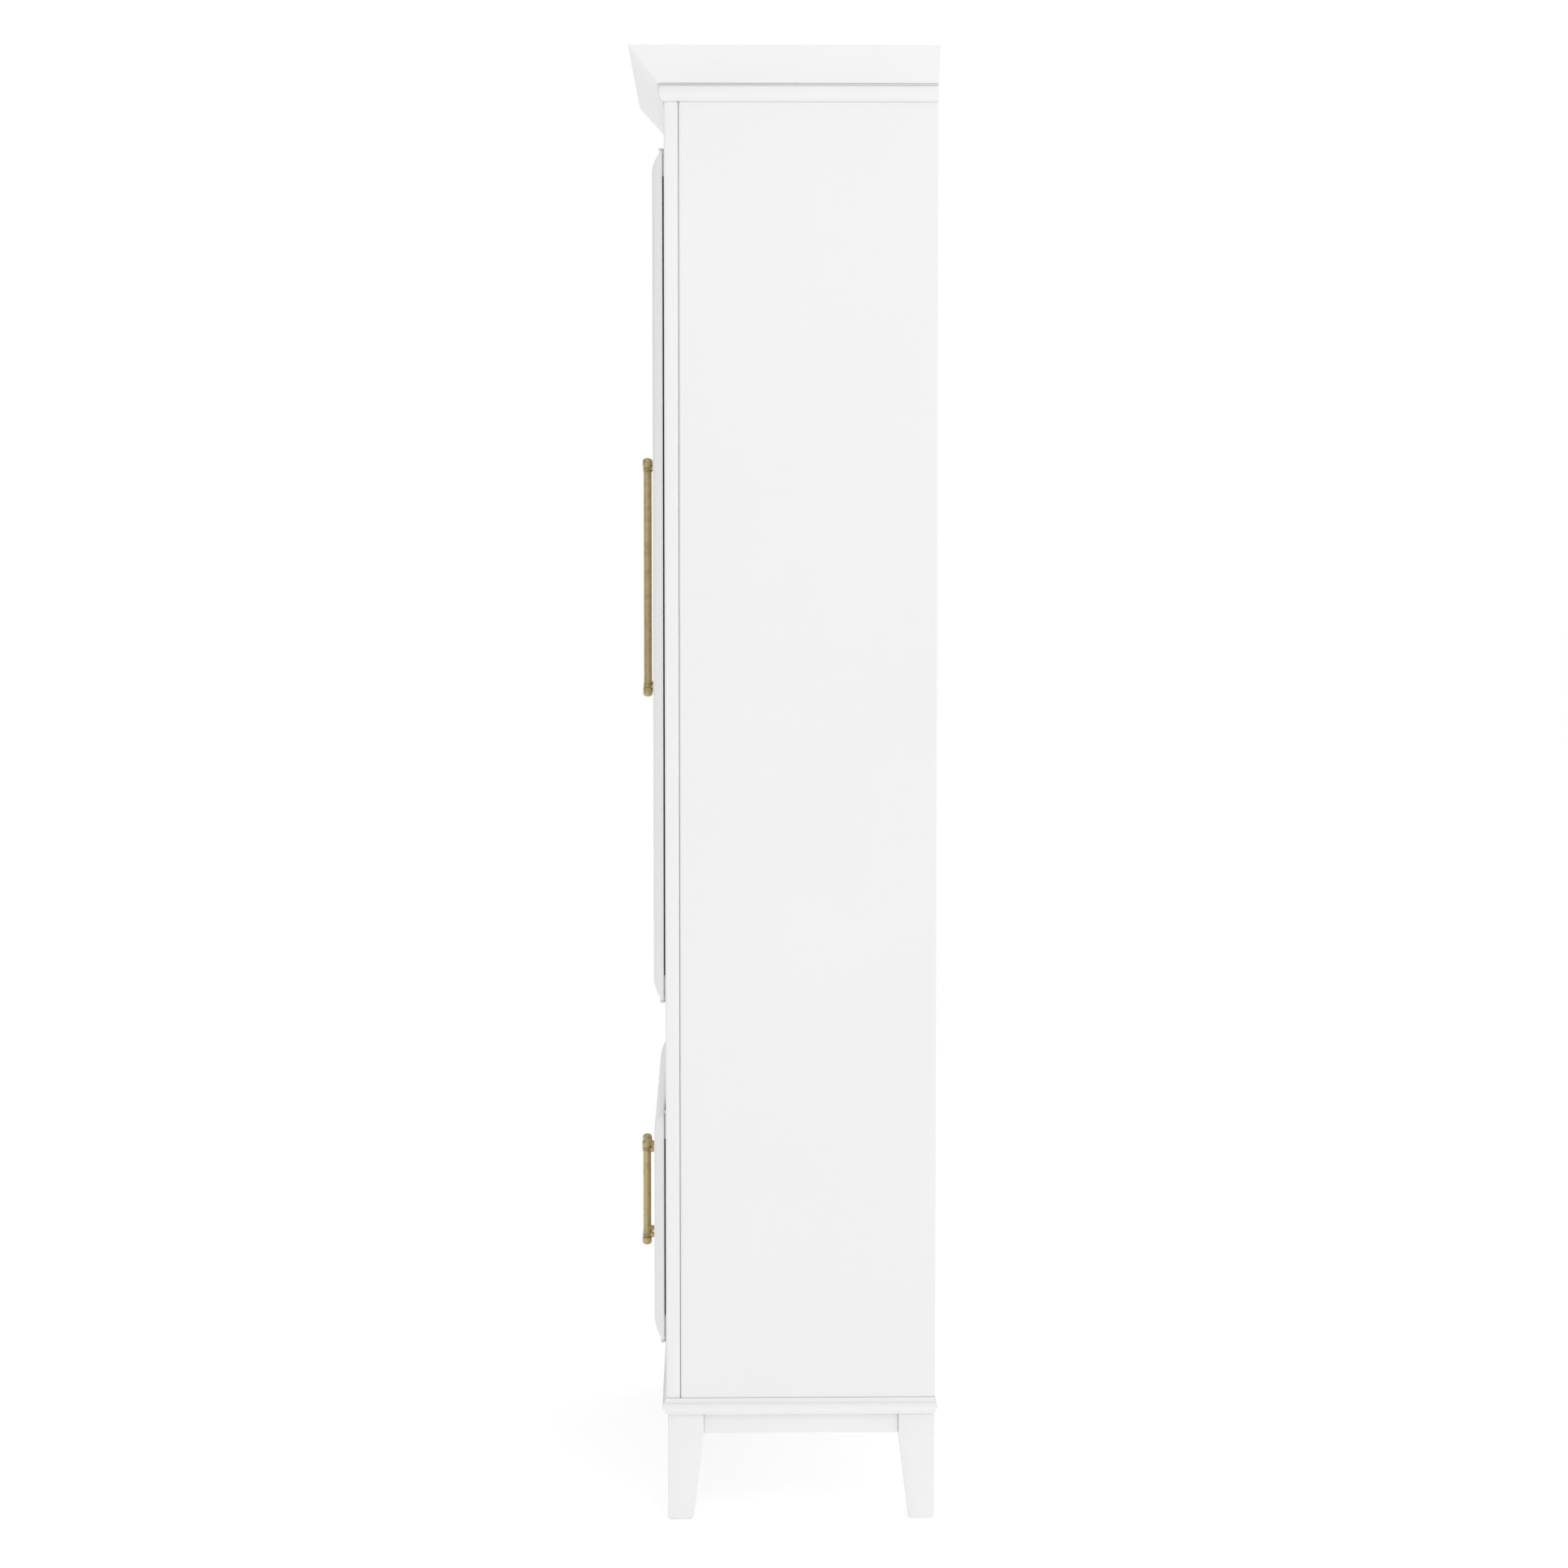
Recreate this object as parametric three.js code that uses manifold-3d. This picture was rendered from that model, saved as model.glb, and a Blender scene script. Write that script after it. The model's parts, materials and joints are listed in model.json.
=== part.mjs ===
// A tall painted armoire: a boarded case with a face frame, a flared crown and a moulded base on four
// tapered legs. A pair of long doors closes the upper compartment and a pair of short ones the lower.
// Millimetres, +Z up, front towards -Y. The origin is on the floor under the middle of the outline.
import * as THREE from "three";
import { mergeVertices } from "three/addons/utils/BufferGeometryUtils.js";
import Module from "manifold-3d";

const wasm = await Module();
wasm.setup();

// Overall sizes
const HEIGHT = 2032;
const CASE_WIDTH = 770;
const CASE_DEPTH = 374.5;
const LEG_HEIGHT = 150;
const BASE_THICK = 23;
const BEAD_HEIGHT = 24;
const CROWN_HEIGHT = 47;
const CROWN_REACH = 47.5;
const BASE_NOSE = 5.5;
const BASE_REAR_NOSE = 3;

// Boards
const BOARD = 18;
const FRAME_THICK = 20;
const STILE_WIDTH = 45;
const BACK_THICK = 6;
const GAP = 0.3;

// Doors
const DOOR_EXPOSED_STILE = 20;
const DOOR_OVERLAY = 12;
const DOOR_MEETING_GAP = 3;
const DOOR_BACK_OFF = 2.2;
const DOOR_EDGE = 3;
const DOOR_THICK = 14.4;
const DOOR_BORDER = 28;
const BORDER_STEPS = 6;
const BORDER_CURVE = 1.7;
const UPPER_DOOR = { low: 727, high: 1896 };
const LOWER_DOOR = { low: 250, high: 567 };

// Pulls, from the door's meeting edge and from the door's front face
const PULL_INSET = 22.5;
const PULL_BAR_RADIUS = 5.5;
const PULL_POST_RADIUS = 4.2;
const UPPER_PULL = { centres: 320, middle: 1304, reach: 12.5, cap: 22 };
const LOWER_PULL = { centres: 128, middle: 394, reach: 15.5, cap: 18.5 };
const PULL_END = 15;
const ROUND_SIDES = 24;

// Pivot hinges
const LEAF_THICK = 0.7;
const EAR_THICK = 1.2;
const LEAF_HEIGHT = 34;
const LEAF_WIDTH = 24;
const LEAF_FROM_PIVOT = 1;
const EAR_LENGTH = 9;
const PIVOT_INSET = 2;
const PIVOT_AHEAD = 4.5;
const EAR_RADIUS = 3;
const PIN_RADIUS = 1.5;
const PIN_HOLE_RADIUS = 1.7;
const PIN_HEAD_RADIUS = 2.4;

// Legs and aprons
const LEG_SIZE = 50;
const LEG_FOOT_SIZE = 36;
const LEG_SETBACK = 2.5;
const REAR_LEG_SETBACK = 1;
const FOOT_CHAMFER = 3;
const APRON_DEPTH = 29;
const APRON_THICK = 20;
const APRON_RECESS = 5;

// Shelves: the height of each underside
const UPPER_SHELVES = [1022, 1332, 1642];
const LOWER_SHELVES = [420];
const SHELF_SIDE_CLEARANCE = 1.5;
const SHELF_SETBACK = 20;
const SHELF_BACK_CLEARANCE = 3;

// Places worked out from the sizes above
const DEPTH = CROWN_REACH + CASE_DEPTH + BASE_REAR_NOSE;
const FRONT = CROWN_REACH - DEPTH / 2;
const BACK = FRONT + CASE_DEPTH;
const HALF = CASE_WIDTH / 2;
const CASE_LOW = LEG_HEIGHT + BASE_THICK;
const CASE_HIGH = HEIGHT - CROWN_HEIGHT;
const STILE_INNER = HALF - STILE_WIDTH;
const PANEL_INNER = HALF - BOARD;
const FRAME_BACK = FRONT + FRAME_THICK;
const DOOR_OUTER = HALF - DOOR_EXPOSED_STILE;
const DOOR_BACK = FRONT - DOOR_BACK_OFF;
const DOOR_FRONT = DOOR_BACK - DOOR_THICK;
const PIVOT_X = DOOR_OUTER - PIVOT_INSET;
const PIVOT_Y = FRONT - PIVOT_AHEAD;
const APRON_LOW = LEG_HEIGHT - APRON_DEPTH;

const PAINT = { color: 0xf3f3f1, roughness: 0.45, metalness: 0 };
const INSIDE = { color: 0xeceae5, roughness: 0.6, metalness: 0 };
const BACK_BOARD = { color: 0xe6e3dc, roughness: 0.75, metalness: 0 };
const BRASS = { color: 0xa6986b, roughness: 0.35, metalness: 1 };
const PAINTED_STEEL = { color: 0xe9e9e6, roughness: 0.45, metalness: 0 };
const PLASTIC = { color: 0xe9e8e4, roughness: 0.5, metalness: 0 };

const armoire = new THREE.Group();

function add(name, geometry, look) {
  const mesh = new THREE.Mesh(geometry, new THREE.MeshStandardMaterial(look));
  mesh.name = name;
  armoire.add(mesh);
}

// A board between nominal faces. Each face stands back by half the gap, so boards that meet stay apart.
function board(name, look, [x0, x1], [y0, y1], [z0, z1]) {
  const geometry = new THREE.BoxGeometry(x1 - x0 - GAP, y1 - y0 - GAP, z1 - z0 - GAP);
  geometry.translate((x0 + x1) / 2, (y0 + y1) / 2, (z0 + z1) / 2);
  add(name, geometry, look);
}

// An outline in plan, drawn for the right-hand side and mirrored when side is -1, raised from low to high.
function upright(outline, side, low, high) {
  const shape = new THREE.Shape(outline.map(([x, y]) => new THREE.Vector2(side * x, y)));
  const geometry = new THREE.ExtrudeGeometry(shape, { depth: high - low, bevelEnabled: false });
  return geometry.translate(0, 0, low);
}

// A closed skin over a row of rings with the same number of points, each ring convex.
function loft(rings) {
  const count = rings[0].length;
  const faces = [];
  for (let r = 0; r + 1 < rings.length; r++) {
    for (let i = 0; i < count; i++) {
      const a = r * count + i;
      const b = r * count + ((i + 1) % count);
      faces.push(a, b, b + count, a, b + count, a + count);
    }
  }
  const last = (rings.length - 1) * count;
  for (let i = 1; i + 1 < count; i++) {
    faces.push(0, i + 1, i);
    faces.push(last, last + i, last + i + 1);
  }
  const geometry = new THREE.BufferGeometry().setFromPoints(rings.flat());
  geometry.setIndex(faces);
  geometry.computeVertexNormals();
  return geometry;
}

// A level ring, anticlockwise from above, for lofts that rise.
function levelRing(x0, x1, y0, y1, z) {
  return [
    new THREE.Vector3(x0, y0, z),
    new THREE.Vector3(x1, y0, z),
    new THREE.Vector3(x1, y1, z),
    new THREE.Vector3(x0, y1, z),
  ];
}

// An upright ring, for lofts that come forward.
function frontRing(x0, x1, z0, z1, y) {
  return [
    new THREE.Vector3(x0, y, z0),
    new THREE.Vector3(x1, y, z0),
    new THREE.Vector3(x1, y, z1),
    new THREE.Vector3(x0, y, z1),
  ];
}

function solid(geometry) {
  const bare = geometry.clone();
  bare.deleteAttribute("normal");
  bare.deleteAttribute("uv");
  const merged = mergeVertices(bare, 1e-4);
  return new wasm.Manifold(
    new wasm.Mesh({
      numProp: 3,
      vertProperties: merged.attributes.position.array,
      triVerts: new Uint32Array(merged.index.array),
    }),
  );
}

function surface(made) {
  const mesh = made.getMesh();
  const geometry = new THREE.BufferGeometry();
  geometry.setAttribute("position", new THREE.BufferAttribute(mesh.vertProperties, 3));
  geometry.setIndex(new THREE.BufferAttribute(mesh.triVerts, 1));
  geometry.computeVertexNormals();
  return geometry;
}

function joined(...geometries) {
  return surface(geometries.map(solid).reduce((whole, piece) => whole.add(piece)));
}

function rod(radius, x, y, low, high) {
  const geometry = new THREE.CylinderGeometry(radius, radius, high - low, ROUND_SIDES);
  return geometry.rotateX(Math.PI / 2).translate(x, y, (low + high) / 2);
}

// A moulding on the case: its profile is (out from the case face, height). The run goes along +X with the
// profile's outward side towards -Y, and each mitred end leans with the outward distance.
function moulding(profile, start, end, startMitre, endMitre) {
  const shape = new THREE.Shape(profile.map(([out, z]) => new THREE.Vector2(out, z)));
  const geometry = new THREE.ExtrudeGeometry(shape, { depth: 1, bevelEnabled: false });
  const at = geometry.attributes.position;
  for (let i = 0; i < at.count; i++) {
    const out = at.getX(i);
    const height = at.getY(i);
    const along = at.getZ(i) > 0.5 ? start - out * startMitre : end + out * endMitre;
    at.setXYZ(i, along, -out, height);
  }
  return geometry;
}

// The three runs of a moulding round the front and the two sides of the case, mitred at the front corners.
function mouldingSet(name, profile) {
  const trim = GAP / 2;
  const front = moulding(profile, -HALF + trim, HALF - trim, 1, 1);
  add(name + "_front", front.translate(0, FRONT, 0), PAINT);
  const right = moulding(profile, FRONT + trim, BACK, 1, 0);
  add(name + "_right", right.rotateZ(Math.PI / 2).translate(HALF, 0, 0), PAINT);
  const left = moulding(profile, -BACK, -FRONT - trim, 0, 1);
  add(name + "_left", left.rotateZ(-Math.PI / 2).translate(-HALF, 0, 0), PAINT);
}

// Points of a rounded nose that swells from one height to another.
function nose(out, reach, low, high, steps) {
  const points = [];
  for (let i = 0; i <= steps; i++) {
    const angle = (Math.PI * i) / steps;
    points.push([out + reach * Math.sin(angle), low + ((high - low) * (1 - Math.cos(angle))) / 2]);
  }
  return points;
}

// Points of a cove that draws in as it rises.
function cove(outLow, outHigh, low, high, steps) {
  const points = [];
  for (let i = 0; i <= steps; i++) {
    const angle = ((Math.PI / 2) * i) / steps;
    const out = outHigh + (outLow - outHigh) * (1 - Math.sin(angle));
    points.push([out, low + (high - low) * (1 - Math.cos(angle))]);
  }
  return points;
}

// Points of the quarter circle that rounds an outer front corner at (x, y).
function cornerArc(x, y, radius, steps) {
  const points = [];
  for (let i = 0; i <= steps; i++) {
    const angle = ((Math.PI / 2) * i) / steps;
    points.push([x - radius + radius * Math.sin(angle), y + radius - radius * Math.cos(angle)]);
  }
  return points;
}

function makeCase() {
  const roundCorner = 3.5;
  const groove = 2.3;
  const rearChamfer = 1.5;
  const inset = GAP / 2;
  const stile = [
    [STILE_INNER + inset, FRONT],
    ...cornerArc(HALF, FRONT, roundCorner, 4),
    [HALF, FRAME_BACK - groove],
    [HALF - groove, FRAME_BACK - inset],
    [STILE_INNER + inset, FRAME_BACK - inset],
  ];
  const panel = [
    [PANEL_INNER + inset, FRAME_BACK + inset],
    [HALF - groove, FRAME_BACK + inset],
    [HALF, FRAME_BACK + groove],
    [HALF, BACK - rearChamfer],
    [HALF - rearChamfer, BACK],
    [PANEL_INNER + inset, BACK],
  ];
  for (const [side, word] of [[-1, "left"], [1, "right"]]) {
    add("stile_" + word, upright(stile, side, CASE_LOW + inset, CASE_HIGH - inset), PAINT);
    add("side_panel_" + word, upright(panel, side, CASE_LOW + inset, CASE_HIGH - inset), PAINT);
  }

  const between = [-STILE_INNER, STILE_INNER];
  const frame = [FRONT - GAP / 2, FRAME_BACK];
  board("rail_bottom", PAINT, between, frame, [CASE_LOW, LOWER_DOOR.low + DOOR_OVERLAY]);
  const gapBetweenDoors = [LOWER_DOOR.high - DOOR_OVERLAY, UPPER_DOOR.low + DOOR_OVERLAY];
  board("rail_middle", PAINT, between, frame, gapBetweenDoors);
  board("rail_top", PAINT, between, frame, [UPPER_DOOR.high - DOOR_OVERLAY, CASE_HIGH]);

  const inner = [-PANEL_INNER, PANEL_INNER];
  const depth = [FRAME_BACK, BACK - BACK_THICK];
  const floor = LOWER_DOOR.low + DOOR_OVERLAY;
  const divider = UPPER_DOOR.low + DOOR_OVERLAY;
  board("panel_bottom", INSIDE, inner, depth, [floor - BOARD, floor]);
  board("panel_divider", INSIDE, inner, depth, [divider - BOARD, divider]);
  board("panel_top", INSIDE, inner, depth, [CASE_HIGH - BOARD, CASE_HIGH]);
  board("back_panel", BACK_BOARD, inner, [BACK - BACK_THICK, BACK], [CASE_LOW, CASE_HIGH]);
}

function makeShelves() {
  const reach = PANEL_INNER - SHELF_SIDE_CLEARANCE;
  const depth = [FRAME_BACK + SHELF_SETBACK, BACK - BACK_THICK - SHELF_BACK_CLEARANCE];
  UPPER_SHELVES.forEach((z, i) => {
    board("shelf_upper_" + (i + 1), INSIDE, [-reach, reach], depth, [z, z + BOARD]);
  });
  LOWER_SHELVES.forEach((z, i) => {
    board("shelf_lower_" + (i + 1), INSIDE, [-reach, reach], depth, [z, z + BOARD]);
  });
}

function makeTop() {
  const crownFoot = 9;
  const crownBack = 20;
  const lip = 1.5;
  const low = CASE_HIGH + GAP / 2;
  mouldingSet("crown", [
    [crownFoot, low],
    [CROWN_REACH, HEIGHT - lip],
    [CROWN_REACH, HEIGHT],
    [CROWN_REACH - crownBack, HEIGHT],
    [crownFoot - crownBack, low],
  ]);

  const boardEdge = CROWN_REACH - crownBack;
  const capThick = 12;
  const lean = ((CROWN_REACH - crownFoot) * capThick) / (CROWN_HEIGHT - lip);
  const capAt = (drop, z) => {
    const out = boardEdge - GAP - drop;
    return levelRing(-HALF - out, HALF + out, FRONT - out, BACK, z);
  };
  add("crown_cap_board", loft([capAt(lean, HEIGHT - capThick), capAt(0, HEIGHT)]), PAINT);

  const railClearance = 0.4;
  const slant = (CROWN_REACH - crownFoot) / (HEIGHT - low);
  const railAt = (z) => {
    const out = crownFoot - crownBack - railClearance + (z - low) * slant;
    return levelRing(-HALF - out, HALF + out, BACK - BOARD, BACK, z);
  };
  add("crown_rear_rail", loft([railAt(low), railAt(HEIGHT - capThick - GAP)]), PAINT);

  const beadLow = CASE_HIGH - BEAD_HEIGHT;
  const fillet = 2;
  mouldingSet("top_bead", [
    [GAP, beadLow],
    [fillet, beadLow],
    ...nose(fillet + 0.5, 4, beadLow + 2.5, CASE_HIGH - fillet, 10),
    [fillet * 2.2, CASE_HIGH - fillet],
    [fillet * 2.2, CASE_HIGH - GAP / 2],
    [GAP, CASE_HIGH - GAP / 2],
  ]);
}

function makeBase() {
  const rearShare = BASE_REAR_NOSE / BASE_NOSE;
  const ledge = 1.5;
  const coveFoot = CASE_LOW - 7;
  const profile = [
    [ledge, LEG_HEIGHT + GAP / 2],
    [ledge, LEG_HEIGHT + 4],
    ...nose(ledge + 1, BASE_NOSE - ledge - 1, LEG_HEIGHT + 5, coveFoot, 10),
    ...cove(ledge + 1.5, 0.5, coveFoot + 0.6, CASE_LOW - GAP / 2, 6),
  ];
  const rings = profile.map(([out, z]) =>
    levelRing(-HALF - out, HALF + out, FRONT - out, BACK + out * rearShare, z),
  );
  add("base_board", loft(rings), PAINT);
}

// Each leg is straight behind the aprons, then its two inner faces taper to the foot.
function makeLegs() {
  const legOut = HALF - LEG_SETBACK;
  const legFront = FRONT + LEG_SETBACK;
  const legBack = BACK - REAR_LEG_SETBACK;
  const levels = [
    { z: 0, size: LEG_FOOT_SIZE, trim: FOOT_CHAMFER },
    { z: FOOT_CHAMFER, size: LEG_FOOT_SIZE, trim: 0 },
    { z: APRON_LOW, size: LEG_SIZE, trim: 0 },
    { z: LEG_HEIGHT - GAP / 2, size: LEG_SIZE, trim: 0 },
  ];
  for (const [side, word] of [[-1, "left"], [1, "right"]]) {
    for (const [end, face, inward] of [["front", legFront, 1], ["rear", legBack, -1]]) {
      const rings = levels.map(({ z, size, trim }) => {
        const xs = [side * (legOut - trim), side * (legOut - size + trim)].sort((a, b) => a - b);
        const ys = [face + inward * trim, face + inward * (size - trim)].sort((a, b) => a - b);
        return levelRing(xs[0], xs[1], ys[0], ys[1], z);
      });
      add("leg_" + end + "_" + word, loft(rings), PAINT);
    }
  }

  const span = legOut - LEG_SIZE;
  const height = [APRON_LOW, LEG_HEIGHT];
  const frontFace = legFront + APRON_RECESS;
  const rearFace = legBack - APRON_RECESS;
  const sideFace = legOut - APRON_RECESS;
  const sideSpan = [legFront + LEG_SIZE, legBack - LEG_SIZE];
  board("apron_front", PAINT, [-span, span], [frontFace, frontFace + APRON_THICK], height);
  board("apron_rear", PAINT, [-span, span], [rearFace - APRON_THICK, rearFace], height);
  board("apron_right", PAINT, [sideFace - APRON_THICK, sideFace], sideSpan, height);
  board("apron_left", PAINT, [-sideFace, -sideFace + APRON_THICK], sideSpan, height);
}

// A door slab: a thin edge all round, then a border that swells to the flat field.
function doorSlab(side, { low, high }) {
  const xs = [(side * DOOR_MEETING_GAP) / 2, side * DOOR_OUTER].sort((a, b) => a - b);
  const ring = (inset, y) => frontRing(xs[0] + inset, xs[1] - inset, low + inset, high - inset, y);
  const rings = [ring(0, DOOR_BACK), ring(0, DOOR_BACK - DOOR_EDGE)];
  for (let i = 1; i <= BORDER_STEPS; i++) {
    const across = i / BORDER_STEPS;
    const rise = 1 - (1 - across) ** BORDER_CURVE;
    rings.push(ring(DOOR_BORDER * across, DOOR_BACK - DOOR_EDGE - (DOOR_THICK - DOOR_EDGE) * rise));
  }
  return loft(rings);
}

// Half of a pull's outline, from the domed tip inward: cap, neck, ring, neck and collar, then the bar.
function pullTip(cap) {
  const capRadius = 6.9;
  const neckRadius = 5.7;
  const tip = [];
  const dome = 5;
  for (let i = 0; i <= 5; i++) {
    const angle = (Math.PI / 2) * (i / 5);
    tip.push([capRadius * Math.sin(angle), dome * (1 - Math.cos(angle))]);
  }
  tip.push([capRadius, cap * 0.62]);
  tip.push([neckRadius, cap * 0.66]);
  tip.push([neckRadius, cap * 0.69]);
  tip.push([capRadius * 0.98, cap * 0.73]);
  tip.push([capRadius * 0.98, cap * 0.81]);
  tip.push([neckRadius, cap * 0.85]);
  tip.push([capRadius * 0.92, cap * 0.89]);
  tip.push([capRadius * 0.92, cap * 0.95]);
  tip.push([PULL_BAR_RADIUS, cap]);
  return tip;
}

function pull(side, { centres, middle, reach, cap }) {
  const x = side * (DOOR_MEETING_GAP / 2 + PULL_INSET);
  const y = DOOR_FRONT - reach;
  const half = centres / 2 + PULL_END;
  const tip = pullTip(cap);
  const lower = tip.map(([r, z]) => new THREE.Vector2(r, z - half));
  const upper = tip.map(([r, z]) => new THREE.Vector2(r, half - z)).reverse();
  const bar = new THREE.LatheGeometry([...lower, ...upper], ROUND_SIDES);
  bar.rotateX(Math.PI / 2).translate(x, y, middle);
  const posts = [-1, 1].map((end) => {
    const post = new THREE.CylinderGeometry(PULL_POST_RADIUS, PULL_POST_RADIUS, reach - GAP, ROUND_SIDES);
    return post.translate(x, y + (reach - GAP) / 2, middle + (end * centres) / 2);
  });
  return joined(bar, ...posts);
}

// A pivot hinge at one end of a door. Its plates lie flat in the gap behind the door, and their ears pass
// round the door's end, one over the other, with the pin through both.
function earOutline(innerX, rearY) {
  const shape = new THREE.Shape();
  shape.moveTo(innerX, rearY);
  shape.lineTo(innerX, PIVOT_Y - EAR_RADIUS);
  shape.lineTo(PIVOT_X, PIVOT_Y - EAR_RADIUS);
  shape.absarc(PIVOT_X, PIVOT_Y, EAR_RADIUS, -Math.PI / 2, Math.PI / 2, false);
  shape.lineTo(PIVOT_X, rearY);
  return shape;
}

function plate([x0, x1], [y0, y1], [z0, z1]) {
  const geometry = new THREE.BoxGeometry(x1 - x0, y1 - y0, z1 - z0);
  return geometry.translate((x0 + x1) / 2, (y0 + y1) / 2, (z0 + z1) / 2);
}

function ear(outline, low) {
  const geometry = new THREE.ExtrudeGeometry(outline, {
    depth: EAR_THICK,
    bevelEnabled: false,
    curveSegments: ROUND_SIDES / 2,
  });
  return geometry.translate(0, 0, low);
}

// Both leaves for the top end of a right-hand door whose end is at z = 0.
function hingeLeaves() {
  const doorEar = GAP;
  const frameEar = doorEar + EAR_THICK + GAP;
  const frameTop = frameEar + EAR_THICK;
  const frameFace = FRONT - GAP;
  const doorFace = DOOR_BACK + GAP;
  const earInner = PIVOT_X - EAR_LENGTH;
  const outer = PIVOT_X - LEAF_FROM_PIVOT;
  const inner = outer - LEAF_WIDTH;
  const framePlate = plate([inner, outer], [frameFace - LEAF_THICK, frameFace], [-LEAF_HEIGHT, frameTop]);
  const doorTop = doorEar + EAR_THICK;
  const doorPlate = plate([inner, outer], [doorFace, doorFace + LEAF_THICK], [-LEAF_HEIGHT, doorTop]);
  const pin = rod(PIN_RADIUS, PIVOT_X, PIVOT_Y, doorEar, frameTop);
  const head = rod(PIN_HEAD_RADIUS, PIVOT_X, PIVOT_Y, frameTop - EAR_THICK / 2, frameTop + EAR_THICK / 2);
  const frameLeaf = joined(framePlate, ear(earOutline(earInner, frameFace), frameEar), pin, head);
  const doorOutline = earOutline(earInner, doorFace + LEAF_THICK);
  const hole = new THREE.Path();
  hole.absarc(PIVOT_X, PIVOT_Y, PIN_HOLE_RADIUS, 0, 2 * Math.PI, true);
  doorOutline.holes.push(hole);
  return { frame: frameLeaf, door: joined(doorPlate, ear(doorOutline, doorEar)) };
}

function makeDoors() {
  const leaves = hingeLeaves();
  const rows = [["upper", UPPER_DOOR, UPPER_PULL], ["lower", LOWER_DOOR, LOWER_PULL]];
  for (const [word, span, pullSizes] of rows) {
    for (const [side, hand] of [[-1, "left"], [1, "right"]]) {
      const name = word + "_" + hand;
      add("door_" + name, doorSlab(side, span), PAINT);
      add("pull_" + name, pull(side, pullSizes), BRASS);
      for (const [end, turn, z] of [["top", 1, span.high], ["bottom", -1, span.low]]) {
        for (const leaf of ["frame", "door"]) {
          const leafName = "hinge_" + leaf + "_leaf_" + name + "_" + end;
          add(leafName, placedLeaf(leaves[leaf], side, turn, z), PAINTED_STEEL);
        }
      }
    }
  }
}

// A leaf mirrored to its side and end. Mirroring once turns the faces inside out, so they are turned back.
function placedLeaf(geometry, side, turn, z) {
  const placed = geometry.clone().scale(side, 1, turn).translate(0, 0, z);
  if (side * turn < 0) {
    const order = placed.index.array;
    for (let i = 0; i < order.length; i += 3) {
      [order[i + 1], order[i + 2]] = [order[i + 2], order[i + 1]];
    }
  }
  placed.computeVertexNormals();
  return placed;
}

// A double magnetic catch hangs under the rail over each pair of doors.
function makeCatches() {
  const half = 26;
  const height = 12;
  const depth = [FRONT - 1, FRONT + 16];
  for (const [word, span] of [["upper", UPPER_DOOR], ["lower", LOWER_DOOR]]) {
    const top = span.high - DOOR_OVERLAY;
    board("catch_" + word, PLASTIC, [-half, half], depth, [top - height, top]);
  }
}

makeCase();
makeShelves();
makeTop();
makeBase();
makeLegs();
makeDoors();
makeCatches();

export default armoire;
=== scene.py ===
# The armoire's looks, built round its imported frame: rounded painted boards, swelled doors, turned brass
# pulls, and the small hardware inside. Metres, +Z up, front towards -Y, the same frame as the CAD.
import bmesh
import bpy
import json
import math
from mathutils import Euler, Matrix, Vector


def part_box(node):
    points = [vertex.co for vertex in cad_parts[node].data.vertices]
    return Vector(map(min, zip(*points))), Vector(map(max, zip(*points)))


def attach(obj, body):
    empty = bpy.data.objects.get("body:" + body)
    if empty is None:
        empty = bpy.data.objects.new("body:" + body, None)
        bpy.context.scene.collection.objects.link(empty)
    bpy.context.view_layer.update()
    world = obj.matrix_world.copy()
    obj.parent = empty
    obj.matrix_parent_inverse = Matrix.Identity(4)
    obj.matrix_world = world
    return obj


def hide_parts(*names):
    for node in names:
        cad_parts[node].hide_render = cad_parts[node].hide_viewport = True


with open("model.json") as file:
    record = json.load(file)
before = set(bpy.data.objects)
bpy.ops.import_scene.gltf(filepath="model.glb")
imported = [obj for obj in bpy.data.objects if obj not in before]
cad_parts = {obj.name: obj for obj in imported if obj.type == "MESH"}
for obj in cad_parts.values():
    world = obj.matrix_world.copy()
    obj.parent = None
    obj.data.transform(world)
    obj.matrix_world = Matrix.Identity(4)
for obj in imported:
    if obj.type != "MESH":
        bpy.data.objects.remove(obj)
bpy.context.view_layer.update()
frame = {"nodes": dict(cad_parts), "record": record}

MM = 0.001
SIDES = {"left": -1, "right": 1}
ROWS = ("upper", "lower")

# Camera: how far to the side, how far back from the front face, how high, and where it turns
CAMERA_AWAY = 5.160
CAMERA_BEHIND_FRONT = 0.063
CAMERA_HEIGHT = 1.4495
CAMERA_PITCH = 3.69
CAMERA_YAW = 1.12
CAMERA_SHIFT_DOWN = 0.0404
CAMERA_LENS = 86.35
CAMERA_SENSOR = 36.0

# Studio: how bright the white room is in front of the armoire, behind it and to the camera, then the floor
WORLD_FRONT = 0.55
WORLD_BACK = 0.9
WORLD_SEEN = 1.02
FLOOR_GLOW = 0.35
FLOOR_HALF = 30.0

# Rounded arrises
BOARD_ARRIS = 1.2 * MM
LEG_ARRIS = 2.2 * MM
CROWN_ARRIS = 0.9 * MM
PLATE_ARRIS = 0.15 * MM
BASE_ARRIS = 0.5 * MM
BACK_ARRIS = 0.6 * MM
CATCH_ARRIS = 1.6 * MM
DOOR_ARRIS = 0.7 * MM
SMALL_ARRIS = 0.3 * MM

# Door border: the CAD's own curve, drawn in finer steps
DOOR_EDGE = 3 * MM
DOOR_BORDER = 28 * MM
BORDER_CURVE = 1.7
BORDER_STEPS = 22

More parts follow.
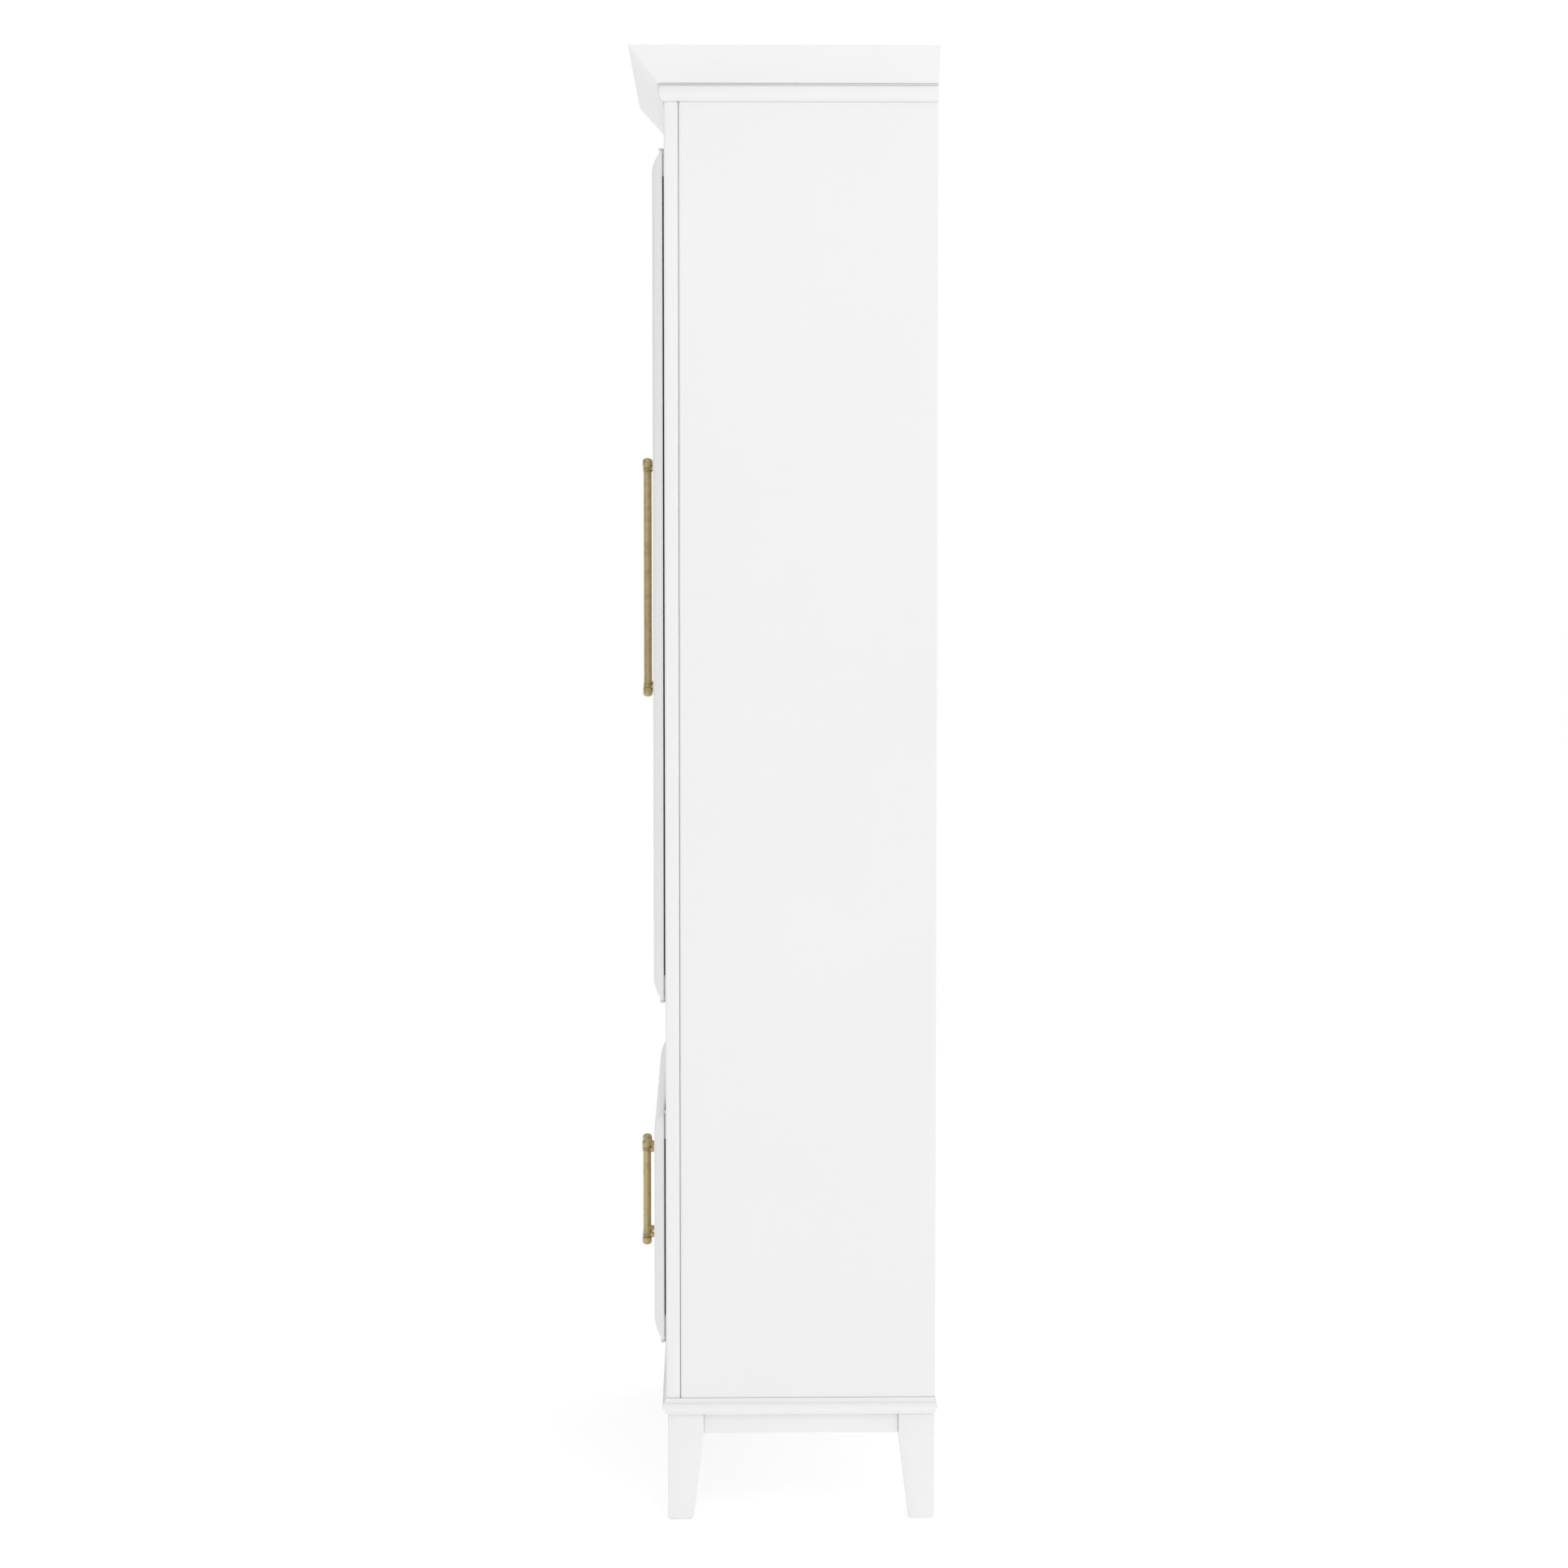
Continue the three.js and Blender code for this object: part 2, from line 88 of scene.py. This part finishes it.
# Pulls
PULL_BAR = 5.5 * MM
PULL_CAP = 6.9 * MM
PULL_NECK = 5.6 * MM
PULL_POST = 4.2 * MM
PULL_END = 15 * MM
POST_SINK = 1.2 * MM
PULLS = {"upper": {"centres": 320 * MM, "cap": 22 * MM}, "lower": {"centres": 128 * MM, "cap": 18.5 * MM}}
ROUND_SIDES = 64
POST_SIDES = 40

# Screws: the steps run from the leaf's far end towards its pin
SCREW_SIDES = 24
PULL_SCREW_RADIUS = 4 * MM
PULL_SCREW_HEIGHT = 1.9 * MM
HINGE_SCREW_RADIUS = 2.6 * MM
HINGE_SCREW_HEIGHT = 0.12 * MM
HINGE_SCREW_INSET = 8 * MM
LEAF_THICK = 0.7 * MM
FRAME_LEAF_SCREWS = (6 * MM, 18 * MM)
DOOR_LEAF_SCREWS = (12 * MM, 26 * MM)

# Catch strikes
STRIKE_THICK = 0.9 * MM
STRIKE_HALF_SIZE = (9 * MM, 6 * MM)
STRIKE_FROM_MIDDLE = 14 * MM

# Shelf pins: a pin is turned, and its tongue lies under the shelf
PIN_INSET = 40 * MM
PIN_DROP = 3.2 * MM
PIN_SIDES = 20
TONGUE_LENGTH = 8 * MM
TONGUE_HALF_WIDTH = 4 * MM
TONGUE_DROP = (0.2 * MM, 1.2 * MM)


# ---------- materials ----------

def new_material(name, roughness, metallic=0.0):
    material = bpy.data.materials.new(name)
    material.use_nodes = True
    tree = material.node_tree
    shader = tree.nodes["Principled BSDF"]
    shader.inputs["Roughness"].default_value = roughness
    shader.inputs["Metallic"].default_value = metallic
    return material, tree, shader


def object_point(tree, scale=(1, 1, 1)):
    where = tree.nodes.new("ShaderNodeTexCoord")
    mapping = tree.nodes.new("ShaderNodeMapping")
    mapping.inputs["Scale"].default_value = scale
    tree.links.new(where.outputs["Object"], mapping.inputs["Vector"])
    return mapping.outputs["Vector"]


def noise(tree, point, scale, detail=4.0, rough=0.5):
    node = tree.nodes.new("ShaderNodeTexNoise")
    node.inputs["Scale"].default_value = scale
    node.inputs["Detail"].default_value = detail
    node.inputs["Roughness"].default_value = rough
    tree.links.new(point, node.inputs["Vector"])
    return node.outputs["Fac"]


def ramp(tree, value, stops):
    node = tree.nodes.new("ShaderNodeValToRGB")
    points = node.color_ramp.elements
    while len(points) < len(stops):
        points.new(0.5)
    for point, (place, colour) in zip(points, stops):
        point.position = place
        point.color = (*colour, 1)
    tree.links.new(value, node.inputs["Fac"])
    return node.outputs["Color"]


def remap(tree, value, low, high, to_low, to_high):
    node = tree.nodes.new("ShaderNodeMapRange")
    for name, number in (("From Min", low), ("From Max", high), ("To Min", to_low), ("To Max", to_high)):
        node.inputs[name].default_value = number
    tree.links.new(value, node.inputs["Value"])
    return node.outputs["Result"]


def mix(tree, share, base, colour):
    """The base, with a share of one plain colour over it."""
    node = tree.nodes.new("ShaderNodeMix")
    node.data_type = "RGBA"
    tree.links.new(share, node.inputs[0])
    tree.links.new(base, node.inputs[6])
    node.inputs[7].default_value = (*colour, 1)
    return node.outputs[2]


def bump(tree, shader, height, strength, distance, after=None):
    node = tree.nodes.new("ShaderNodeBump")
    node.inputs["Strength"].default_value = strength
    node.inputs["Distance"].default_value = distance
    tree.links.new(height, node.inputs["Height"])
    if after:
        tree.links.new(after, node.inputs["Normal"])
    tree.links.new(node.outputs["Normal"], shader.inputs["Normal"])
    return node.outputs["Normal"]


def recess(tree, reach):
    """How open a place is: 1 on a plain face, less in a quirk or a joint."""
    node = tree.nodes.new("ShaderNodeAmbientOcclusion")
    node.inputs["Distance"].default_value = reach
    node.samples = 8
    return node.outputs["AO"]


def sprayed_paint(name, light, shade, grain_axis):
    """Satin paint over board: a faint cloudiness, a fine spray texture, a trace of grain under it, and
    painted shade that darkens it in joints, quirks and gaps.
    """
    material, tree, shader = new_material(name, 0.42)
    even = object_point(tree)
    cloud = noise(tree, even, 3.2, 3.0, 0.55)
    stretch = {"z": (38, 38, 1.1), "x": (1.1, 38, 38), "y": (38, 1.1, 38)}[grain_axis]
    grain = noise(tree, object_point(tree, stretch), 9.0, 6.0, 0.6)
    spray = noise(tree, even, 900.0, 2.0, 0.5)
    base = ramp(tree, cloud, [(0.3, shade), (0.7, light)])
    grained = mix(tree, remap(tree, grain, 0.3, 0.7, 0.0, 0.25), base, [c * 0.985 for c in shade])
    # Painted shade: where the occlusion finds a joint, quirk or gap close by, the colour is pulled towards a
    # darker tone.
    painted_recess_shade = remap(tree, recess(tree, 0.012), 0.15, 0.9, 0.30, 0.0)
    recess_shaded = mix(tree, painted_recess_shade, grained, [c * 0.80 for c in shade])
    tree.links.new(recess_shaded, shader.inputs["Base Color"])
    tree.links.new(remap(tree, cloud, 0.3, 0.7, 0.38, 0.50), shader.inputs["Roughness"])
    coarse = bump(tree, shader, grain, 0.10, 0.0004)
    bump(tree, shader, spray, 0.16, 0.00015, coarse)
    shader.inputs["Specular IOR Level"].default_value = 0.35
    return material


def antique_brass(name):
    """Brushed brass under a thin lacquer, with a cloudy patina that is darker in the quirks."""
    material, tree, shader = new_material(name, 0.34, 1.0)
    even = object_point(tree)
    brush = noise(tree, object_point(tree, (900, 900, 14)), 1.0, 3.0, 0.6)
    patina = noise(tree, even, 120.0, 4.0, 0.55)
    tones = [(0.25, (0.40, 0.315, 0.15)), (0.5, (0.50, 0.405, 0.205)), (0.8, (0.58, 0.48, 0.27))]
    tone = ramp(tree, patina, tones)
    streaked = mix(tree, remap(tree, brush, 0.3, 0.7, 0.0, 0.30), tone, (0.41, 0.32, 0.155))
    grime = remap(tree, recess(tree, 0.0025), 0.35, 0.85, 0.85, 0.0)
    aged = mix(tree, grime, streaked, (0.115, 0.085, 0.045))
    tree.links.new(aged, shader.inputs["Base Color"])
    tree.links.new(remap(tree, patina, 0.3, 0.7, 0.42, 0.27), shader.inputs["Roughness"])
    bump(tree, shader, brush, 0.12, 0.0001)
    return material


def moulded_plastic(name):
    material, tree, shader = new_material(name, 0.5)
    even = object_point(tree)
    tone = ramp(tree, noise(tree, even, 40.0), [(0.3, (0.76, 0.76, 0.74)), (0.7, (0.83, 0.83, 0.81))])
    tree.links.new(tone, shader.inputs["Base Color"])
    bump(tree, shader, noise(tree, even, 1600.0, 2.0), 0.2, 0.0001)
    return material


def powder_coat(name):
    material, tree, shader = new_material(name, 0.45)
    even = object_point(tree)
    tone = ramp(tree, noise(tree, even, 90.0), [(0.3, (0.82, 0.82, 0.81)), (0.7, (0.87, 0.87, 0.86))])
    tree.links.new(tone, shader.inputs["Base Color"])
    bump(tree, shader, noise(tree, even, 2200.0, 2.0), 0.25, 0.0001)
    return material


def zinc_steel(name):
    material, tree, shader = new_material(name, 0.36, 1.0)
    even = object_point(tree)
    spangle = noise(tree, even, 320.0, 4.0)
    tone = ramp(tree, spangle, [(0.3, (0.46, 0.46, 0.47)), (0.7, (0.66, 0.66, 0.66))])
    tree.links.new(tone, shader.inputs["Base Color"])
    tree.links.new(remap(tree, spangle, 0.3, 0.7, 0.44, 0.28), shader.inputs["Roughness"])
    bump(tree, shader, spangle, 0.08, 0.0001)
    return material


def make_materials():
    white = (0.885, 0.885, 0.882)
    shade = (0.868, 0.868, 0.866)
    cream = (0.83, 0.82, 0.79)
    cream_shade = (0.80, 0.79, 0.755)
    return {
        "paint_z": sprayed_paint("white_paint_upright", white, shade, "z"),
        "paint_x": sprayed_paint("white_paint_level", white, shade, "x"),
        "paint_y": sprayed_paint("white_paint_deep", white, shade, "y"),
        "inside": sprayed_paint("inside_paint", cream, cream_shade, "x"),
        "back": sprayed_paint("back_board_paint", (0.79, 0.775, 0.735), (0.755, 0.74, 0.70), "z"),
        "pull": antique_brass("antique_brass_pull"),
        "hinge": powder_coat("hinge_powder_coat"),
        "plastic": moulded_plastic("catch_plastic"),
        "steel": zinc_steel("zinc_steel"),
    }


# ---------- mesh helpers ----------

def new_piece(name, mesh, body, material):
    piece = bpy.data.objects.new(name, mesh)
    bpy.context.scene.collection.objects.link(piece)
    mesh.materials.clear()
    mesh.materials.append(material)
    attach(piece, body)
    return piece


def shade_by_angle(mesh, degrees):
    mesh.polygons.foreach_set("use_smooth", [True] * len(mesh.polygons))
    mesh.set_sharp_from_angle(angle=math.radians(degrees))


def rounded_copy(node, arris, segments=3, sharp=20):
    """The node's own shape as a new mesh, its flat faces made whole and its arrises rounded."""
    made = bmesh.new()
    made.from_mesh(frame["nodes"][node].data)
    bmesh.ops.remove_doubles(made, verts=made.verts, dist=1e-6)
    bmesh.ops.dissolve_limit(made, angle_limit=math.radians(1.0), verts=made.verts, edges=made.edges)
    crisp = [e for e in made.edges if len(e.link_faces) == 2 and e.calc_face_angle() > math.radians(sharp)]
    bmesh.ops.bevel(made, geom=crisp, offset=arris, offset_type="OFFSET", segments=segments, profile=0.5,
                    affect="EDGES", clamp_overlap=True)
    mesh = bpy.data.meshes.new(node + "_shape")
    made.to_mesh(mesh)
    made.free()
    shade_by_angle(mesh, 40)
    return mesh


def refine(node, arris, material, segments=3, sharp=20):
    """Draw a node again with rounded arrises, riding on the node's own body."""
    body = next(b for b, members in frame["record"]["behaviour"]["bodies"].items() if node in members)
    piece = new_piece(node + "_finish", rounded_copy(node, arris, segments, sharp), body, material)
    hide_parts(node)


def rings_mesh(name, rings):
    """A closed skin over rings of the same count, in order."""
    count = len(rings[0])
    points = [p for ring in rings for p in ring]
    faces = []
    for r in range(len(rings) - 1):
        for i in range(count):
            a = r * count + i
            b = r * count + (i + 1) % count
            faces.append((a, b, b + count, a + count))
    faces.append(tuple(reversed(range(count))))
    faces.append(tuple(range((len(rings) - 1) * count, len(rings) * count)))
    mesh = bpy.data.meshes.new(name)
    mesh.from_pydata([tuple(p) for p in points], [], faces)
    made = bmesh.new()
    made.from_mesh(mesh)
    bmesh.ops.recalc_face_normals(made, faces=made.faces)
    made.to_mesh(mesh)
    made.free()
    return mesh


def turned(profile, middle, sides=ROUND_SIDES, axis="z"):
    """Rings of a turned piece: profile is (radius, distance along the axis) from tip to tip."""
    rings = []
    for radius, along in profile:
        ring = []
        for i in range(sides):
            angle = 2 * math.pi * i / sides
            a = max(radius, 1e-5) * math.cos(angle)
            b = max(radius, 1e-5) * math.sin(angle)
            offset = {"z": (a, b, along), "y": (a, along, b), "x": (along, a, b)}[axis]
            ring.append(middle + Vector(offset))
        rings.append(ring)
    return rings


def join_meshes(name, meshes):
    made = bmesh.new()
    for mesh in meshes:
        made.from_mesh(mesh)
    joined = bpy.data.meshes.new(name)
    made.to_mesh(joined)
    made.free()
    for mesh in meshes:
        bpy.data.meshes.remove(mesh)
    return joined


# ---------- the case ----------

def finish_case(materials):
    upright = ["stile_left", "stile_right", "side_panel_left", "side_panel_right"]
    level = ["rail_bottom", "rail_middle", "rail_top", "apron_front", "apron_rear", "crown_rear_rail",
             "crown_cap_board", "base_board"]
    deep = ["apron_left", "apron_right"]
    for names, key in ((upright, "paint_z"), (level, "paint_x"), (deep, "paint_y")):
        for node in names:
            arris = BASE_ARRIS if node == "base_board" else BOARD_ARRIS
            refine(node, arris, materials[key], sharp=24)
    for word, key in (("front", "paint_x"), ("left", "paint_y"), ("right", "paint_y")):
        refine("crown_" + word, CROWN_ARRIS, materials[key])
        refine("top_bead_" + word, SMALL_ARRIS, materials[key], segments=2, sharp=30)
    for end in ("front", "rear"):
        for side in SIDES:
            refine(f"leg_{end}_{side}", LEG_ARRIS, materials["paint_z"], segments=4, sharp=12)
    inside = [n for n in frame["nodes"] if n.startswith(("shelf_", "panel_"))]
    for node in sorted(inside):
        refine(node, BOARD_ARRIS, materials["inside"])
    refine("back_panel", BACK_ARRIS, materials["back"])
    for row in ROWS:
        refine("catch_" + row, CATCH_ARRIS, materials["plastic"], segments=4)


# ---------- doors, pulls and hinges ----------

def door_mesh(node):
    """A door slab with its swelled border, and the thin edge behind it eased."""
    low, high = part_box(node)
    rise = high.y - low.y - DOOR_EDGE

    def ring(inset, y):
        return [Vector((low.x + inset, y, low.z + inset)), Vector((high.x - inset, y, low.z + inset)),
                Vector((high.x - inset, y, high.z - inset)), Vector((low.x + inset, y, high.z - inset))]

    rings = [ring(0, high.y), ring(0, high.y - DOOR_EDGE)]
    for i in range(1, BORDER_STEPS + 1):
        across = i / BORDER_STEPS
        swell = 1 - (1 - across) ** BORDER_CURVE
        rings.append(ring(DOOR_BORDER * across, high.y - DOOR_EDGE - rise * swell))
    mesh = rings_mesh(node + "_shape", rings)
    made = bmesh.new()
    made.from_mesh(mesh)
    edges = []
    for edge in made.edges:
        flat_run = all(abs(v.co.y - high.y) < DOOR_EDGE + 1e-5 for v in edge.verts)
        if flat_run and edge.calc_face_angle(0) > math.radians(30):
            edges.append(edge)
    bmesh.ops.bevel(made, geom=edges, offset=DOOR_ARRIS, segments=3, profile=0.5, affect="EDGES",
                    clamp_overlap=True)
    made.to_mesh(mesh)
    made.free()
    shade_by_angle(mesh, 28)
    return mesh


def pull_tip(cap):
    """The cap from its domed tip to the bar: dome, body, quirk, bead, quirk, collar."""
    tip = []
    dome = 5 * MM
    for i in range(11):
        angle = math.pi / 2 * i / 10
        tip.append((PULL_CAP * math.sin(angle), dome * (1 - math.cos(angle))))
    tip += [(PULL_CAP, cap * 0.60), (PULL_CAP * 0.985, cap * 0.62), (PULL_NECK, cap * 0.645),
            (PULL_NECK, cap * 0.685)]
    for start, end, reach in ((0.70, 0.83, PULL_CAP), (0.87, 0.96, PULL_CAP * 0.93)):
        for i in range(7):
            angle = math.pi * i / 6
            radius = PULL_NECK + (reach - PULL_NECK) * math.sin(angle) ** 0.6
            tip.append((radius, cap * (start + (end - start) * i / 6)))
    tip.append((PULL_BAR, cap))
    return tip


def make_pull(row, side, materials):
    node = f"pull_{row}_{side}"
    low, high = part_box(node)
    middle = Vector(((low.x + high.x) / 2, low.y + PULL_CAP, (low.z + high.z) / 2))
    half = PULLS[row]["centres"] / 2 + PULL_END
    tip = pull_tip(PULLS[row]["cap"])
    profile = [(r, z - half) for r, z in tip] + [(r, half - z) for r, z in reversed(tip)]
    parts = [rings_mesh("bar", turned(profile, middle))]
    reach = high.y - middle.y + POST_SINK
    for end in (-1, 1):
        foot = middle + Vector((0, 0, end * PULLS[row]["centres"] / 2))
        post = [(PULL_POST, 0), (PULL_POST, reach - 2.2 * MM), (PULL_POST * 1.12, reach - 1.4 * MM),
                (PULL_POST * 1.3, reach - 0.5 * MM), (PULL_POST * 1.3, reach)]
        parts.append(rings_mesh("post", turned(post, foot, POST_SIDES, "y")))
    mesh = join_meshes(node + "_shape", parts)
    shade_by_angle(mesh, 35)
    piece = new_piece(node + "_finish", mesh, f"door_{row}_{side}", materials["pull"])
    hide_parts(node)


def screw_mesh(seat, radius, height, toward):
    """A low domed screw head on its seat, towards the back (toward is 1) or the front (-1)."""
    steps = 6
    profile = [(radius, 0)]
    for i in range(1, steps + 1):
        angle = math.pi / 2 * i / steps
        across = radius * math.cos(angle) ** 0.7 if i < steps else radius * 0.25
        profile.append((across, height * math.sin(angle)))
    profile = [(r, toward * d) for r, d in profile]
    return rings_mesh("head", turned(profile, seat, SCREW_SIDES, "y"))


def make_pull_screws(materials):
    """The heads of the pull screws, on the backs of the doors."""
    for row in ROWS:
        for side in SIDES:
            body = f"door_{row}_{side}"
            pull_low, pull_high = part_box(f"pull_{row}_{side}")
            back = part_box(body)[1].y
            x = (pull_low.x + pull_high.x) / 2
            z = (pull_low.z + pull_high.z) / 2
            heads = []
            for end in (-1, 1):
                seat = Vector((x, back, z + end * PULLS[row]["centres"] / 2))
                heads.append(screw_mesh(seat, PULL_SCREW_RADIUS, PULL_SCREW_HEIGHT, 1))
            mesh = join_meshes("screws", heads)
            shade_by_angle(mesh, 40)
            new_piece(f"pull_screws_{row}_{side}", mesh, body, materials["steel"])


def make_hinge_screws(materials):
    """Two nearly flush heads on each leaf. The two leaves' heads are at different heights, so they clear."""
    for node in sorted(n for n in frame["nodes"] if n.startswith("hinge_")):
        low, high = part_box(node)
        on_frame = "_frame_" in node
        body = "root" if on_frame else node.replace("hinge_door_leaf_", "door_").rsplit("_", 1)[0]
        hand = 1 if low.x > 0 else -1
        up = 1 if node.endswith("top") else -1
        far = low.z if up > 0 else high.z
        inner = min(abs(low.x), abs(high.x))
        heads = []
        y = high.y - LEAF_THICK if on_frame else high.y
        for step in (FRAME_LEAF_SCREWS if on_frame else DOOR_LEAF_SCREWS):
            seat = Vector((hand * (inner + HINGE_SCREW_INSET), y, far + up * step))
            heads.append(screw_mesh(seat, HINGE_SCREW_RADIUS, HINGE_SCREW_HEIGHT, -1 if on_frame else 1))
        mesh = join_meshes("screws", heads)
        shade_by_angle(mesh, 40)
        new_piece("screws_" + node, mesh, body, materials["steel"])


def finish_hinges(materials):
    for node in sorted(frame["nodes"]):
        if node.startswith("hinge_"):
            refine(node, PLATE_ARRIS, materials["hinge"], segments=2, sharp=40)


def make_strikes(materials):
    """A steel strike on each door's back, facing its magnet."""
    half_width, half_height = STRIKE_HALF_SIZE
    for row in ROWS:
        magnet_low, magnet_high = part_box("catch_" + row)
        z = (magnet_low.z + magnet_high.z) / 2
        for side, hand in SIDES.items():
            body = f"door_{row}_{side}"
            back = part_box(body)[1].y
            x = hand * STRIKE_FROM_MIDDLE
            low = Vector((x - half_width, back, z - half_height))
            high = Vector((x + half_width, back + STRIKE_THICK, z + half_height))
            mesh = box_mesh("strike", low, high, SMALL_ARRIS)
            new_piece(f"catch_strike_{row}_{side}", mesh, body, materials["steel"])


def box_mesh(name, low, high, arris):
    made = bmesh.new()
    place = Matrix.Translation((low + high) / 2) @ Matrix.Diagonal((*(high - low), 1))
    bmesh.ops.create_cube(made, size=1, matrix=place)
    bmesh.ops.bevel(made, geom=made.edges[:], offset=arris, segments=2, profile=0.5, affect="EDGES")
    mesh = bpy.data.meshes.new(name)
    made.to_mesh(mesh)
    made.free()
    shade_by_angle(mesh, 40)
    return mesh


def make_shelf_pins(materials):
    """Four brass pins with flat tongues under each shelf, against the side panels."""
    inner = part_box("side_panel_right")[0].x
    profile = [(4.2 * MM, 0), (4.2 * MM, 1.0 * MM), (2.5 * MM, 1.3 * MM), (2.5 * MM, 7.5 * MM),
               (2.1 * MM, 8.2 * MM)]
    for node in sorted(n for n in frame["nodes"] if n.startswith("shelf_")):
        low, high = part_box(node)
        pins = []
        for hand in SIDES.values():
            inward = [(r, -hand * d) for r, d in profile]
            tongue_x = sorted((hand * inner, hand * (inner - TONGUE_LENGTH)))
            for y in (low.y + PIN_INSET, high.y - PIN_INSET):
                seat = Vector((hand * inner, y, low.z - PIN_DROP))
                pins.append(rings_mesh("pin", turned(inward, seat, PIN_SIDES, "x")))
                tongue_low = Vector((tongue_x[0], y - TONGUE_HALF_WIDTH, low.z - TONGUE_DROP[1]))
                tongue_high = Vector((tongue_x[1], y + TONGUE_HALF_WIDTH, low.z - TONGUE_DROP[0]))
                pins.append(box_mesh("tongue", tongue_low, tongue_high, SMALL_ARRIS))
        mesh = join_meshes("pins", pins)
        shade_by_angle(mesh, 40)
        new_piece(f"pins_{node}", mesh, "root", materials["pull"])


def make_doors(materials):
    for row in ROWS:
        for side in SIDES:
            node = f"door_{row}_{side}"
            piece = new_piece(node + "_finish", door_mesh(node), node, materials["paint_z"])
            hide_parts(node)
            make_pull(row, side, materials)


# ---------- stage, light and camera ----------

def make_stage():
    mesh = bpy.data.meshes.new("floor")
    corners = [(x * FLOOR_HALF, y * FLOOR_HALF, 0) for x, y in ((-1, -1), (1, -1), (1, 1), (-1, 1))]
    mesh.from_pydata(corners, [], [(0, 1, 2, 3)])
    floor = bpy.data.objects.new("floor", mesh)
    bpy.context.scene.collection.objects.link(floor)
    material, tree, shader = new_material("pale_floor", 0.9)
    shader.inputs["Base Color"].default_value = (0.85, 0.85, 0.85, 1)
    shader.inputs["Specular IOR Level"].default_value = 0.0
    shader.inputs["Emission Color"].default_value = (1, 1, 1, 1)
    shader.inputs["Emission Strength"].default_value = FLOOR_GLOW
    mesh.materials.append(material)


def area_light(name, place, aim, size, power):
    light = bpy.data.lights.new(name, "AREA")
    light.shape = "RECTANGLE"
    light.size, light.size_y = size
    light.energy = power
    lamp = bpy.data.objects.new(name, light)
    lamp.location = place
    lamp.rotation_euler = (Vector(aim) - Vector(place)).to_track_quat("-Z", "Y").to_euler()
    bpy.context.scene.collection.objects.link(lamp)


def make_world():
    """A white studio, a little dimmer in front of the armoire, and plain white where the camera sees it."""
    world = bpy.data.worlds.new("studio")
    world.use_nodes = True
    tree = world.node_tree
    where = tree.nodes.new("ShaderNodeTexCoord")
    split = tree.nodes.new("ShaderNodeSeparateXYZ")
    tree.links.new(where.outputs["Generated"], split.inputs["Vector"])
    strength = remap(tree, split.outputs["Y"], -1, 0.6, WORLD_FRONT, WORLD_BACK)
    ray = tree.nodes.new("ShaderNodeLightPath")
    seen = tree.nodes.new("ShaderNodeMix")
    tree.links.new(ray.outputs["Is Camera Ray"], seen.inputs[0])
    tree.links.new(strength, seen.inputs[2])
    seen.inputs[3].default_value = WORLD_SEEN
    tree.links.new(seen.outputs[0], tree.nodes["Background"].inputs["Strength"])
    tree.nodes["Background"].inputs["Color"].default_value = (1, 1, 1, 1)
    bpy.context.scene.world = world


def make_light():
    make_world()
    area_light("overhead", (0.4, 0.0, 5.0), (0, 0, 0.8), (4.0, 4.0), 12)
    area_light("side_soft", (4.6, 0.6, 4.4), (0.4, 0, 1.2), (3.0, 3.0), 36)
    bpy.context.scene.view_settings.view_transform = "Standard"


def make_camera():
    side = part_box("side_panel_right")[1].x
    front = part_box("stile_right")[0].y
    data = bpy.data.cameras.new("camera")
    data.sensor_width = CAMERA_SENSOR
    data.lens = CAMERA_LENS
    data.shift_y = -CAMERA_SHIFT_DOWN
    data.clip_end = 200
    camera = bpy.data.objects.new("camera", data)
    camera.location = (side + CAMERA_AWAY, front + CAMERA_BEHIND_FRONT, CAMERA_HEIGHT)
    camera.rotation_euler = Euler((math.radians(90 - CAMERA_PITCH), 0, math.radians(90 - CAMERA_YAW)))
    bpy.context.scene.collection.objects.link(camera)
    bpy.context.scene.camera = camera


make_camera()
materials = make_materials()
finish_case(materials)
make_doors(materials)
finish_hinges(materials)
make_pull_screws(materials)
make_hinge_screws(materials)
make_strikes(materials)
make_shelf_pins(materials)
make_stage()
make_light()
